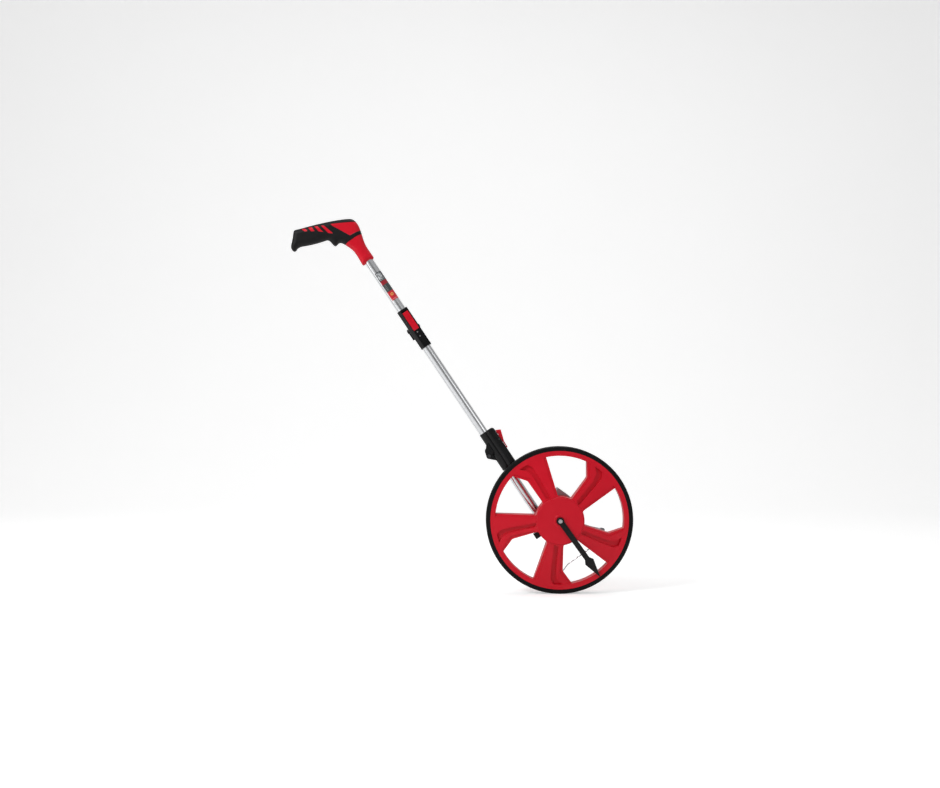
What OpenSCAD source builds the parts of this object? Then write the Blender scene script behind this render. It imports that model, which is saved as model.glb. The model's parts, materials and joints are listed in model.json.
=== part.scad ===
// Folding measuring wheel with a three-section mast, a gear-driven counter
// and a swing-out kickstand. Units are millimetres, +Z is up, the wheel
// rolls along X and its axle lies along Y (counter side is +Y).

/* [Wheel] */
// Outer radius of the tyre (one turn rolls one metre)
wheel_r = 159.155; // [158.5:0.005:160]
// Width of the tyre tread
tyre_w = 25; // [24:0.5:27]
// Radius where tyre meets rim
rim_r = 149.5; // [149:0.5:150]
// Thickness of the wheel's moulded skin
skin = 3.2; // [2.8:0.1:3.6]
// Radius of the round hub cap
cap_r = 50.7; // [49:0.1:50.8]

/* [Mast] */
// Lean of the mast from vertical, degrees
lean = 33.8; // [25:0.1:45]
// Outside diameter of the three tubes
tube_od = 19; // [18.6:0.1:19]
// Inside diameter of the three tubes
tube_id = 16; // [14:0.5:16.5]

/* [Folds] */
// Height of the lower fold above the axle, along the mast
fold_lo = 197; // [196:0.5:198]
// Height of the middle fold above the axle, along the mast
fold_mid = 524; // [520:1:530]
// Radius of the hinge pins
pin_r = 2.5; // [2:0.1:2.5]

/* [Axle and gears] */
// Radius of the axle
axle_r = 5; // [4.9:0.01:5]
// Gear module
gear_m = 1.25; // [1.25]
// Width of the counter box along the axle
counter_w = 25; // [25]

/* [Stand] */
// Radius of the stand's bent wire
wire_r = 1.5; // [1.2:0.1:1.6]
// Angle of the stand's legs from the mast line at rest
stand_a = 52; // [48:1:56]

/* [Part to show] */
// Name of one sub-part, or all of them

/* [Hidden] */
$fn = 64;
xt = -31.5;                    // tube axis across the mast
yt = 45;                       // tube axis behind the wheel's mid-plane
xh = xt - 19;                  // lower hinge pin
yb = 59;                       // flat back of the bracket
cx = 29.2; cz = 30.9;          // counter shaft
red = [0.82, 0.06, 0.10];
black = [0.07, 0.07, 0.075];
steel = [0.78, 0.79, 0.80];
grey = [0.55, 0.56, 0.57];
pale = [0.85, 0.86, 0.87];

// ---------- frames and outlines ----------
// mast frame: z up the mast, x to the upper side, y along the axle
module mast() { translate([0, 0, wheel_r]) rotate([0, -lean, 0]) children(); }
// wheel frame: z along the axle towards the open side, y up
module spin() { translate([0, 0, wheel_r]) rotate([90, 0, 0]) children(); }
// round bar along Y between two depths, in the mast frame
module ybar(x, z, y0, y1, r) { translate([x, y1, z]) rotate([90, 0, 0]) cylinder(r = r, h = y1 - y0); }
// round bar along X
module xbar(y, z, x0, x1, r) { translate([x0, y, z]) rotate([0, 90, 0]) cylinder(r = r, h = x1 - x0); }
// round bar along Z
module zbar(x, y, z0, z1, r) { translate([x, y, z0]) cylinder(r = r, h = z1 - z0); }
// box from corner to corner
module bx(x0, x1, y0, y1, z0, z1) { translate([x0, y0, z0]) cube([x1 - x0, y1 - y0, z1 - z0]); }
// outline in the mast's x-z plane, spread from y0 to y1
module side(y0, y1) { translate([0, y1, 0]) rotate([90, 0, 0]) linear_extrude(height = y1 - y0) children(); }
// outline in the mast's x-y plane, spread from z0 to z1
module plan(z0, z1) { translate([0, 0, z0]) linear_extrude(height = z1 - z0) children(); }

function pt(r, a) = [r * sin(a), r * cos(a)];
function unit(v) = v / norm(v);
function mix(a, b, t) = a * (1 - t) + b * t;
// corners softened by cutting t back along both edges
function soft(p, t, n = 4) = [for (i = [0:len(p) - 1])
  let (m = len(p), a = p[(i + m - 1) % m], b = p[(i + 1) % m], c = p[i],
       ta = min(t, norm(a - c) * 0.48), tb = min(t, norm(b - c) * 0.48),
       q0 = c + unit(a - c) * ta, q2 = c + unit(b - c) * tb)
  for (k = [0:n]) let (s = k / n) q0 * (1 - s) * (1 - s) + c * 2 * s * (1 - s) + q2 * s * s];
// closed smooth curve that follows its control points
function flow(p, n = 4) = [for (i = [0:len(p) - 1])
  let (m = len(p), c = p[i], q0 = (p[(i + m - 1) % m] + c) / 2, q2 = (p[(i + 1) % m] + c) / 2)
  for (k = [0:n - 1]) let (s = k / n) q0 * (1 - s) * (1 - s) + c * 2 * s * (1 - s) + q2 * s * s];
function nrm(a, b) = let (d = unit(b - a)) [d[1], -d[0]];
// outline (clockwise) moved inwards by d
function inset(p, d) = [for (i = [0:len(p) - 1])
  let (m = len(p), n1 = nrm(p[(i + m - 1) % m], p[i]), n2 = nrm(p[i], p[(i + 1) % m]), s = n1 + n2)
  p[i] + s * d / max(0.35, (s * s) / 2)];
function rrect(x0, x1, y0, y1, t, n = 4) = soft([[x0, y0], [x0, y1], [x1, y1], [x1, y0]], t, n);
module ringz(r0, r1, h) { difference() { cylinder(r = r1, h = h); translate([0, 0, -1]) cylinder(r = r0, h = h + 2); } }

// ---------- wheel ----------
// one of the five openings, as an outline in the wheel frame
function win(ro = 142.2, ri = 52.4) = [pt(ro, -12.2), pt(ro, -3), pt(ro, 6), pt(ro, 15), pt(ro, 24.4), pt(109.5, 32.6), pt(ri, 28.2), pt(ri, 20), pt(ri, 12), pt(ri, 3), pt(ri + 0.3, -5)];
module windows() { for (i = [0:4]) rotate(-72 * i) translate([0, 0, -20]) linear_extrude(height = 60) polygon(soft(win(), 3, 3)); }
groove = [[76.1, 120.6], [79.5, 99.6], [71.7, 84.1], [35.2, 42.1], [39.6, 32.8], [76.1, 73], [90.5, 90.8], [92.7, 109.6]];
// front cone surface height at radius r, lowered by d
function zf(r, d = 0) = 12.5 + (139 - r) * 15 / 88 - d;
// solid of everything under the front cone lowered by d
module undercone(d) {
  rotate_extrude($fn = 96) polygon([[0, -20], [0, zf(51, d)], [51, zf(51, d)], [139, 12.5 - d], [141, 12.5 - d], [141, -20]]);
}
// rim hoop with the groove the tyre's rib sits in
module rim_hoop() {
  rotate_extrude($fn = 120) polygon([[139, -12.5], [139, 12.5], [rim_r, 12.5], [rim_r, 4], [rim_r - 3, 4], [rim_r - 3, -4], [rim_r, -4], [rim_r, -12.5]]);
}
// hollow behind one spoke, left of its bent edge
function pocket() = [pt(137, 31), pt(137, 36), pt(137, 42), pt(137, 48), pt(137, 57), pt(112, 60), pt(58, 63),
  pt(57, 56), pt(57, 47), pt(57, 40), pt(58, 37), pt(111, 40)];
module wheel_disc() color([0.80, 0.08, 0.10]) spin() {
  difference() {
    union() {
      rim_hoop();
      difference() {
        union() {
          difference() { undercone(0); translate([0, 0, -25]) cylinder(r = 160, h = 13); }
        }
        // hub recess for the cap
        translate([0, 0, 25.3]) cylinder(r = cap_r + 0.2, h = 10);
        windows();
        // hollows behind the spokes
        for (i = [0:4]) rotate(-72 * i) intersection() {
          undercone(skin);
          translate([0, 0, -30]) linear_extrude(height = 60) polygon(pocket());
          difference() { cylinder(r = 200, h = 100, center = true); translate([0, 0, -40]) linear_extrude(height = 90) polygon(inset(groove, 3)); }
        }
        // hollows around the hub
        difference() {
          translate([0, 0, -30]) ringz(21, 48, 52);
          for (i = [0:4]) rotate(-72 * i - 15) translate([-1.6, 0, -31]) cube([3.2, 60, 60]);
        }
        // step along each bent edge
        for (i = [0:4]) rotate(-72 * i) difference() {
          translate([0, 0, 8]) linear_extrude(height = 25) polygon([pt(139.5, 22), pt(139.5, 27.2), pt(111, 36.4), pt(58, 33.5), pt(56, 25), pt(108, 31)]);
          undercone(2.4);
        }
        // narrow border along each straight edge
        for (i = [0:4]) rotate(-72 * i) difference() {
          translate([0, 0, 8]) linear_extrude(height = 25) polygon([pt(139.5, -9), pt(139.5, -14.6), pt(57, -10.6), pt(56, -3)]);
          undercone(1.8);
        }
        // deep trough along each spoke
        for (i = [0:4]) rotate(-72 * i) difference() { translate([0, 0, 4]) linear_extrude(height = 40) polygon(soft(groove, 3, 3)); undercone(6); }
      }
      translate([0, 0, -14]) cylinder(r = 22, h = 30);
    }
    translate([0, 0, -30]) cylinder(r = 11, h = 80);
  }
}
module tyre() color(black) spin() rotate_extrude($fn = 120)
  polygon([[rim_r, -tyre_w / 2], [wheel_r - 2, -tyre_w / 2], [wheel_r, -10], [wheel_r, -6.6], [wheel_r - 0.9, -6.2], [wheel_r - 0.9, -5.4], [wheel_r, -5],
    [wheel_r, 5], [wheel_r - 0.9, 5.4], [wheel_r - 0.9, 6.2], [wheel_r, 6.6], [wheel_r, 10], [wheel_r - 2, tyre_w / 2], [rim_r, tyre_w / 2],
    [rim_r, 4], [rim_r - 3, 4], [rim_r - 3, -4], [rim_r, -4]]);
module hub_cap() color(pale) spin() translate([0, 0, 25.3])
  rotate_extrude($fn = 96) polygon([[6.2, 0], [cap_r, 0], [cap_r, 2.5], [cap_r - 1, 3.5], [14.2, 3.5], [12.7, 4.3], [9, 4.3], [8, 3.3], [6.2, 3.3]]);
module hub_bush_front() color(grey) spin() translate([0, 0, 13]) ringz(5.05, 11, 10);
module hub_bush_rear() color(grey) spin() translate([0, 0, -14]) ringz(5.05, 11, 10);
module axle_clip() color(steel) spin() translate([0, 0, 23.3]) ringz(4.6, 8, 1.2);

// ---------- axle ----------
module axle() color(steel) spin() difference() {
  rotate_extrude() polygon([[0, -58.5], [4, -58.5], [4, -51], [axle_r, -51], [axle_r, -31], [8, -31], [8, -28], [axle_r, -28],
    [axle_r, 23.2], [4.6, 23.2], [4.6, 24.6], [axle_r, 24.6], [axle_r, 31], [3.5, 31], [3.5, 33.8], [0, 33.8]]);
  translate([0, 0, 24]) cylinder(r = 1.25, h = 12);
}
module axle_washer() color(steel) spin() translate([0, 0, -52.2]) ringz(4.1, 8, 1.2);
module axle_nut() color(steel) spin() translate([0, 0, -58.2]) difference() {
  cylinder(r = 7.5, h = 6, $fn = 6); translate([0, 0, -1]) cylinder(r = 4, h = 8); }
// thin pointer hanging from the axle tip, bent back towards the rim
module pointer() color(black) mast() difference() {
  intersection() {
    side(-36, -14) rotate(1.8) polygon(concat([for (a = [-130:10:130]) pt(8, a)],
      [[5.8, -100], [10.9, -108.5], [9.4, -114], [0, -150.4], [-9.4, -114], [-10.9, -108.5], [-5.8, -100]]));
    translate([-20, 0, 0]) rotate([90, 0, 90]) linear_extrude(height = 40)
      polygon([[-31, 10], [-33.6, 10], [-33.6, -42.5], [-17.5, -139.5], [-17.5, -153], [-14.9, -153], [-14.9, -139], [-31, -42]]);
  }
  ybar(0, 0, -40, -10, 3.5);
}
module pointer_screw() color(steel) mast() union() { ybar(0, 0, -34.4, -33.8, 4.4); ybar(0, 0, -35.8, -34.4, 3.5); ybar(0, 0, -33.8, -25, 1.25); }

// ---------- gear train ----------
// gear outline: n teeth, t = half-gap correction at the pitch line
function gear_pts(n, m, bl = 0.15) = let (rp = m * n / 2, ra = rp + m * 0.95, rr = rp - m * 1.2, w = 90 / n - bl / rp * 28.6)
  [for (i = [0:n - 1]) let (a = 360 * i / n) each [pt(rr, a - w * 1.55), pt(rp, a - w), pt(ra, a - w * 0.42), pt(ra, a + w * 0.42), pt(rp, a + w), pt(rr, a + w * 1.55)]];
ga = atan2(0.687, 0.727);
module gearat(x, z, y0, y1, n, turn) { translate([x, y1, z]) rotate([90, 0, 0]) rotate(-turn) linear_extrude(height = y1 - y0) polygon(gear_pts(n, gear_m)); }
module drive_gear() color(pale) mast() difference() {
  union() { gearat(0, 0, 19.5, 25.5, 20, ga); ybar(0, 0, 14, 19.5, 9); }
  ybar(0, 0, 10, 30, 5.1);
}
ix = cx / 2; iz = cz / 2;
module idler_gear() color(pale) mast() difference() { gearat(ix, iz, 19.5, 25.5, 14, ga + 180 + 180 / 14); ybar(ix, iz, 10, 30, 2.1); }
module idler_pin() color(steel) mast() union() { ybar(ix, iz, 18.2, 34, 2); ybar(ix, iz, 18.2, 19.3, 3.4); }
module counter_gear() color(pale) mast() difference() { gearat(cx, cz, 19.5, 25.5, 20, ga + 180); ybar(cx, cz, 10, 30, 2); }
module counter_shaft() color(steel) mast() ybar(cx, cz, 19, 58, 2);
module drum(k, bore) { color([0.96, 0.96, 0.95]) mast() difference() {
  ybar(cx, cz, 35.5 + 4.4 * k, 35.5 + 4.4 * k + 4.2, 9);
  ybar(cx, cz, 30, 60, bore);
  for (j = [0:9]) rotate([0, 0, 0]) translate([cx, 0, cz]) rotate([0, 36 * j, 0]) translate([8.7, 35.4 + 4.4 * k, -0.35]) cube([1, 4.4, 0.7]);
} }
module drum_units() drum(0, 2);
module drum_tens() drum(1, 2.05);
module drum_hundreds() drum(2, 2.05);
module drum_thousands() drum(3, 2.05);
module drum_top() drum(4, 2.05);

// ---------- bracket at the axle ----------
module at_counter() { translate([cx, 0, cz]) rotate([0, -20, 0]) children(); }
module case_outline(g = 0) {
  circle(r = 19 - g);
  translate([cx, cz]) circle(r = 14.9 - g);
  rotate(90 - ga) translate([0, -14.8 + g]) square([38, 29.6 - 2 * g]);
}
module axle_bracket() color(black) mast() difference() {
  union() {
    side(18, 34) case_outline();
    ybar(0, 0, 33, yb, 12);
    // socket for the fork tube
    side(31, yb) polygon(rrect(-46, -17, -14, 26, 3));
    bx(-20, 0, 33, yb, -11, 11);
    // ribs towards the counter box
    bx(-20, 4, 33, yb, 11, 16);
    // block that guides the reset button
    bx(-46, -14, 19, 33, -13, 4);
    // lug that carries the stand's wire
    bx(7, 17, 46, yb, -33, -6);
    xbar(54, -29, 7, 17, 5);
    bx(-6, 14, 46, yb, -14, -4);
  }
  // room for the counter's own housing
  at_counter() bx(-16.5, 15.6, 10, 70, -15, 40);
  // gear room, open to the cover
  side(10, 31) union() { circle(r = 15.5); translate([cx, cz]) circle(r = 14.2); rotate(90 - ga) translate([0, -11.5]) square([34, 23]); }
  ybar(0, 0, 20, 60, axle_r);
  ybar(0, 0, 51, 70, 8.5);
  ybar(ix, iz, 28, 35, 2);
    zbar(xt, yt, -8, 40, tube_od / 2);
  // button room, stem bore and stop room
  bx(-50, -36, 19.95 + 0, 32.05, -11.05, 2.05);
  xbar(26, -4.5, -38, -26, 2.55);
  bx(-31.5, -22, 18, 30.6, -8.8, -0.2);
  xbar(54, -29, 0, 25, wire_r - 0.05);
  for (p = cover_at) ybar(p[0], p[1], 10, 26, 1.1);
}
cover_at = [[-16.5, 4.6], [11.2, -13], [-3, 17]];
module gear_cover() color([0.12, 0.12, 0.13]) mast() difference() {
  side(16, 18) case_outline();
  at_counter() bx(-16.5, 15.6, 10, 70, -15, 40);
  ybar(0, 0, 10, 30, 10.5);
  for (p = cover_at) ybar(p[0], p[1], 10, 26, 1.1);
}
module cover_screws() color(steel) mast() for (p = cover_at) difference() {
  union() { ybar(p[0], p[1], 14.8, 16, 2); ybar(p[0], p[1], 16, 25, 1.1); }
  bx(p[0] - 1.6, p[0] + 1.6, 14, 15.2, p[1] - 0.25, p[1] + 0.25);
}

// ---------- counter ----------
module counter_case() color(pale) mast() difference() {
  at_counter() side(16, yb) polygon(rrect(-16.5, 15.6, -15, 21.2, 3));
  at_counter() side(34, 57.6) polygon(rrect(-14.5, 13.6, -13, 19.2, 1.5));
  at_counter() bx(-11, 11, 36, 56, 18, 26);
  // gear room and the way in for the idler
  ybar(cx, cz, 18.1, 31, 14.3);
  side(18.1, 31) rotate(90 - ga) translate([0, -11.5]) square([34, 23]);
  ybar(cx, cz, 28, 70, 2.05);
}
module counter_window() color([0.35, 0.38, 0.40, 0.6]) mast() at_counter() union() {
  bx(-11, 11, 36, 56, 19.2, 21.6);
  bx(-11.8, 11.8, 34.8, 57, 17.8, 19.2);
}

// ---------- reset button ----------
module reset_button() color(black) mast() difference() {
  union() {
    difference() {
      bx(-65, -41, 20, 32, -11, 2);
      xbar(26, -4.5, -70, -61, 3.2);
    }
    xbar(26, -4.5, -62, -60, 3.2);
    xbar(26, -4.5, -42, -29, 2.5);
    xbar(26, -4.5, -31.4, -29, 3.8);
  }
}
// square-wire coil, n turns over a length
module coil(r, w, h, n) linear_extrude(height = h, twist = -360 * n, slices = 14 * n, $fn = 8)
  polygon(concat([for (a = [0:60:180]) [(r - w / 2) * cos(a), (r - w / 2) * sin(a)]], [for (a = [180:-60:0]) [(r + w / 2) * cos(a), (r + w / 2) * sin(a)]]));
module reset_spring() color(steel) mast() translate([-40.9, 26, -4.5]) rotate([0, 90, 0]) coil(3.6, 0.7, 4.8, 3);

// ---------- stand ----------
module leg_frame() { translate([0, 54, -29]) rotate([stand_a, 0, 0]) children(); }
foot1 = [-77, 176]; foot2 = [73, 107];
path = [[4, 0], foot1, [-57, 162], [-40, 149], [18.6, 146], foot2, [20, 0]];
// side lines of a bar that follows an open path, w to the left of it
function beside(p, w) = [for (i = [0:len(p) - 1])
  let (a = i > 0 ? unit(p[i] - p[i - 1]) : unit(p[1] - p[0]), b = i < len(p) - 1 ? unit(p[i + 1] - p[i]) : a, s = [-a[1] - b[1], a[0] + b[0]])
  p[i] + s * w / ((s * s) / 2)];
function bar(p, w) = let (l = beside(p, w), r = beside(p, -w)) concat(l, [for (i = [len(r) - 1:-1:0]) r[i]]);
// outline in the plane of the legs, t thick
module flat(t) { translate([0, t / 2, 0]) rotate([90, 0, 0]) linear_extrude(height = t) mirror([0, 1]) children(); }
// the foot bears on the ground with a flat
module above_ground() intersection() { children(); translate([-400, -200, 0.02]) cube([800, 600, 900]); }
module stand_wire() color(steel) above_ground() mast() leg_frame() union() {
  flat(2 * wire_r) polygon(bar(path, wire_r));
  translate([3, 0, 0]) rotate([0, 90, 0]) cylinder(r = wire_r - 0.1, h = 18);
}
// rubber sleeve around a corner of the wire
function corner(a, c, b) = [c + unit(a - c) * 13, c, c + unit(b - c) * 13];
module sleeve_foot(a, c, b) difference() {
  flat(2 * wire_r + 3.2) polygon(bar(corner(a, c, b), wire_r + 1.6));
  flat(2 * wire_r) polygon(bar(path, wire_r));
}
module stand_feet() color(grey) above_ground() mast() leg_frame() { sleeve_foot(path[0], foot1, path[2]); sleeve_foot(path[4], foot2, path[6]); }

// ---------- tubes ----------
module tube(z0, z1) color(pale) mast() difference() { zbar(xt, yt, z0, z1, tube_od / 2); zbar(xt, yt, z0 - 1, z1 + 1, tube_id / 2); }
module fork_tube() tube(-8, 190);
module middle_tube() tube(204, 512);
module upper_tube() tube(531, 745);

// ---------- lower fold ----------
function lo_outline() = concat([for (a = [90:10:270]) [xt + 11.2 * cos(a), yt + 11.2 * sin(a)]],
  [for (p = soft([[4, -11.2], [9, -13], [24, -13], [24, 13], [9, 13], [4, 11.2]], 2.5, 2)) [xt + p[0], yt + p[1]]]);
lr = [[25.2 - 0.9, 237], [35.1, 231.2], [27.1, 206.3], [26.5, 192.2], [25.8, 191], [20.6, 191], [20.6, 193.4], [24.3, 193.9], [24.3, 207],
  [19.4, 211.4], [16.9, 213.6], [16.2, 216], [16.9, 218.4], [19.4, 220.4], [24.3, 223]];
module lower_sleeve_fork() color(black) mast() difference() {
  union() {
    plan(152.5, fold_lo) polygon(lo_outline());
    side(39.3, 50.7) translate([xt, 0]) union() {
      translate([-19, fold_lo]) circle(r = 6);
      polygon([[-25, 197], [-24, 193], [-9, 178], [-5, 178], [-5, 196.99], [-13, 197]]);
    }
  }
  zbar(xt, yt, 145, 190, tube_od / 2);
  ybar(xh, fold_lo, 30, 60, pin_r + 0.05);
  // catch for the latch
  bx(xt + 20, xt + 30, yt - 7.2, yt + 7.2, 190.4, 194.2);
  // shallow finger grooves on the side
  for (z = [163, 168, 173]) bx(xt + 23.3, xt + 30, yt - 8, yt + 8, z, z + 2);
  for (z = [164, 178]) ybar(xt, z, 50, 60, 1.2);
}
module lower_sleeve_mid() color(black) mast() difference() {
  union() {
    plan(fold_lo, 246) polygon(lo_outline());
    for (y = [33, 51]) side(y, y + 6) translate([xt, 0]) union() {
      translate([-19, fold_lo]) circle(r = 6);
      translate([-15.5, 207]) circle(r = 6.5);
      polygon([[-25, 197], [-22, 207], [-9, 222], [-5, 222], [-5, 197.01], [-13, 197]]);
    }
  }
  zbar(xt, yt, 204, 250, tube_od / 2);
  ybar(xh, fold_lo, 30, 62, pin_r);
  bx(xt + 15.5, xt + 30, yt - 7.2, yt + 7.2, 203, 240);
  ybar(xt + 20.5, 216, 30, 60, 1.6);
  // clearance for the middle ear
  bx(xh - 8, xt - 11.3, 39.1, 50.9, 190, 203.4);
  // rounded upper corner
  side(20, 70) translate([xt, 0]) polygon([[18, 250], [18, 246], [20.4, 245.4], [22.6, 243.8], [24, 241], [26, 241], [26, 250]]);
  for (z = [228, 240]) ybar(xt, z, 50, 60, 1.2);
}
module lower_hinge_pin() color(steel) mast() union() {
  ybar(xh, fold_lo, 31.5, 58.5, pin_r); ybar(xh, fold_lo, 31.5, 33, 3.8); ybar(xh, fold_lo, 57, 58.5, 3.8); }
module lower_latch() color(red) mast() difference() {
  side(yt - 6.7, yt + 6.7) translate([xt, 0]) polygon(lr);
  ybar(xt + 20.5, 216, 30, 60, 1.65);
  for (k = [0:3]) translate([xt + 34.2 - k * 1.3, 0, 228.6 - k * 4]) bx(0, 3, yt - 5, yt + 5, 0, 1.2);
}
module lower_latch_pin() color(steel) mast() ybar(xt + 20.5, 216, yt - 12.4, yt + 12.4, 1.6);
module lower_latch_spring() color(steel) mast() translate([xt + 15.6, yt, 231]) rotate([0, 90, 0]) coil(2.6, 0.7, 8.6, 4);

// ---------- middle fold ----------
function mid_outline() = [for (p = soft([[-12, -9], [-4.5, -16], [13.3, -16], [13.3, 13], [-12, 13]], 1.6, 3)) [xt + p[0], yt + p[1]]];
module ear(x0, x1, s) translate([xt + x0, 62, fold_mid]) rotate([90, 0, 90]) linear_extrude(height = x1 - x0) union() {
  circle(r = 6); polygon([[-5.5, 0], [3.5, 0], [3.5, 6 * s], [-5.5, 22 * s]]); }
ml = [[28.7, 563], [24.2, 561.5], [24.8, 541], [25.6, 518], [26.6, 516.8], [32.2, 516.8], [32.2, 519.4], [28.7, 519.7], [28.7, 536.5], [31, 538.2],
  [33.6, 539.2], [34.2, 541], [33.6, 542.8], [31, 544.4], [28.7, 546]];
module mid_sleeve_mid() color(black) mast() difference() {
  union() {
    difference() { plan(474, fold_mid) polygon(mid_outline()); xbar(62, fold_mid, xt - 5.8, xt + 7.3, 6.4); }
    ear(-16, -6, -1); ear(7.5, 13.3, -1);
    // two faint ribs along the front
    bx(xt - 1, xt + 0.2, 28.4, 30, 477, 496); bx(xt + 4.6, xt + 5.8, 28.4, 30, 477, 496);
  }
  zbar(xt, yt, 470, 512, tube_od / 2);
  xbar(62, fold_mid, xt - 20, xt + 20, pin_r);
  bx(xt - 3.3, xt + 11.1, 20, 32.6, 516.2, 520);
  for (z = [501, 511.4]) ybar(xt + 2.4, z, 20, 34, 0.9);
}
module mid_sleeve_top() color(black) mast() difference() {
  union() {
    difference() { plan(fold_mid, 571) polygon(mid_outline()); xbar(62, fold_mid, xt - 17, xt - 5.9, 6.4); xbar(62, fold_mid, xt + 7.4, xt + 17, 6.4); }
    ear(-5.7, 7.2, 1);
  }
  zbar(xt, yt, 531, 580, tube_od / 2);
  xbar(62, fold_mid, xt - 20, xt + 20, pin_r + 0.05);
  bx(xt - 3.3, xt + 11.1, 20, 34.7, 527, 566);
  xbar(31.5, 541, xt - 8, xt + 12, 1.2);
  for (z = [553, 564]) ybar(xt, z, 50, 60, 1.2);
}
module mid_hinge_pin() color(steel) mast() union() {
  xbar(62, fold_mid, xt - 17.4, xt + 14.7, pin_r); xbar(62, fold_mid, xt - 17.4, xt - 16, 3.8); xbar(62, fold_mid, xt + 13.3, xt + 14.7, 3.8); }
module mid_latch() color(red) mast() difference() {
  translate([xt - 2.8, 0, 0]) rotate([90, 0, 90]) linear_extrude(height = 13.4) polygon(ml);
  xbar(31.5, 541, xt - 20, xt + 20, 1.25);
  for (k = [0:6]) bx(xt + 0.4, xt + 7.4, 20, 25.1 + 0.04 * k, 533 + 3.4 * k, 533.5 + 3.4 * k);
}
module mid_latch_pin() color(steel) mast() xbar(31.5, 541, xt - 8, xt + 12, 1.2);
module mid_latch_spring() color(steel) mast() translate([xt + 3.9, 34.6, 555]) rotate([90, 0, 0]) coil(2, 0.6, 5.8, 3);

// ---------- rivets ----------
module rivet(y0, y1, x, z, r, h) { ybar(x, z, y0, y1, r); if (h > 0) ybar(x, z, y1, y1 + h, 2 * r); else ybar(x, z, y0 + h, y0, 1.8 * r); }
module sleeve_rivets_fork() color(steel) mast() for (z = [164, 178]) difference() { rivet(54.5, 56.2, xt, z, 1.2, 0.8); zbar(xt, yt, 100, 300, 9.5); }
module sleeve_rivets_mid() color(steel) mast() {
  for (z = [228, 240]) difference() { rivet(54.5, 56.2, xt, z, 1.2, 0.8); zbar(xt, yt, 100, 300, 9.5); }
  for (z = [501, 511.4]) rivet(29, 34, xt + 2.4, z, 0.9, -0.6);
}
module sleeve_rivets_top() color(steel) mast() for (z = [553, 564]) rivet(54.5, 58, xt, z, 1.2, 0.8);

// ---------- label on the upper tube ----------
module tube_label() color([0.75, 0.1, 0.12]) mast() difference() {
  zbar(xt, yt, 599, 670, tube_od / 2 + 0.25);
  zbar(xt, yt, 590, 680, tube_od / 2);
  bx(xt - 20, xt - 5.5, 20, 60, 590, 680);
  bx(xt - 20, xt + 4, 47, 60, 590, 680);
}

// ---------- handle ----------
// side outline, clockwise, across the mast and along it
outline = [for (p = flow([[-127.4, 817.8], [-125.7, 824], [-114.7, 834], [-106.5, 843], [-101, 849.5], [-96, 849], [-85, 844.6], [-68.2, 839.3], [-45.2, 831],
  [-21, 821.5], [-1.4, 812.6], [11.1, 806.2], [18.5, 801.5], [23, 796], [24.9, 787.4], [24.5, 777.2], [21.6, 765.5], [17.4, 751.5], [13.6, 737],
  [13.2, 720.2], [13.6, 709], [13.4, 700.5], [4, 700], [-8, 700], [-16.6, 699.8], [-16.6, 705.2], [-15.4, 720.7], [-15.2, 733.9], [-16.8, 743.7], [-22.6, 758],
  [-26, 766], [-31.5, 771.6], [-38, 770.4], [-44.5, 769.4], [-46, 777], [-47, 785.6], [-50, 791.2], [-58, 793.2], [-71, 796.9], [-87.4, 802.8], [-97.9, 807.3],
  [-108, 812], [-115.7, 812.4], [-122, 809.6], [-126.8, 811]], 2)) [xt + p[0], p[1]]];
slashes = [[[-84.4, 841.5], [-76.6, 838], [-74.9, 829.2], [-81.1, 832.5]], [[-69.8, 836], [-62.7, 832.1], [-62, 820.6], [-69.4, 824.7]],
  [[-57.5, 831.1], [-51, 826.8], [-47.3, 808.2], [-55.3, 815.3]], [[-44.4, 824], [-38.5, 820.1], [-30.8, 793.7], [-39.7, 800.6]]];
function dseg(q, a, b) = let (v = b - a, t = max(0, min(1, ((q - a) * v) / (v * v)))) norm(q - a - v * t);
function room(q, p) = min([for (i = [0:len(p) - 1]) dseg(q, p[i], p[(i + 1) % len(p)])]);
// inset outline without the loops that small corners would make
function thin(p) = [for (i = [0:len(p) - 1]) if (norm(p[i] - p[(i + len(p) - 1) % len(p)]) > 0.35) p[i]];
function tidy(p, d) = thin([for (q = inset(p, d)) if (room(q, p) > d - 0.02) q]);
in12 = tidy(outline, 1.2);
in18 = tidy(outline, 1.8);
in30 = tidy(outline, 3);
in36 = tidy(outline, 3.6);
in44 = tidy(outline, 4.4);
module o2(d) polygon(d == 0 ? outline : d == 1.2 ? in12 : d == 1.8 ? in18 : d == 3 ? in30 : d == 3.6 ? in36 : in44);
// area covered by the soft grip: all above the neck but the side panel
module soft_area() translate([xt, 0]) difference() {
  polygon([[-150, 757], [-23, 759.7], [-14, 760.5], [3.2, 760.9], [18.6, 759.8], [40, 759], [40, 880], [-150, 880]]);
  polygon(soft([[-24.9, 815.2], [22.4, 789.5], [40, 783], [40, 766], [19.6, 767.7], [8.6, 769], [-2.7, 769.9], [-4.8, 773], [-14, 791], [-23.7, 809.4]], 2, 2));
}
screw_at = [[5, 762], [-22, 796], [-104, 826]];
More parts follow.
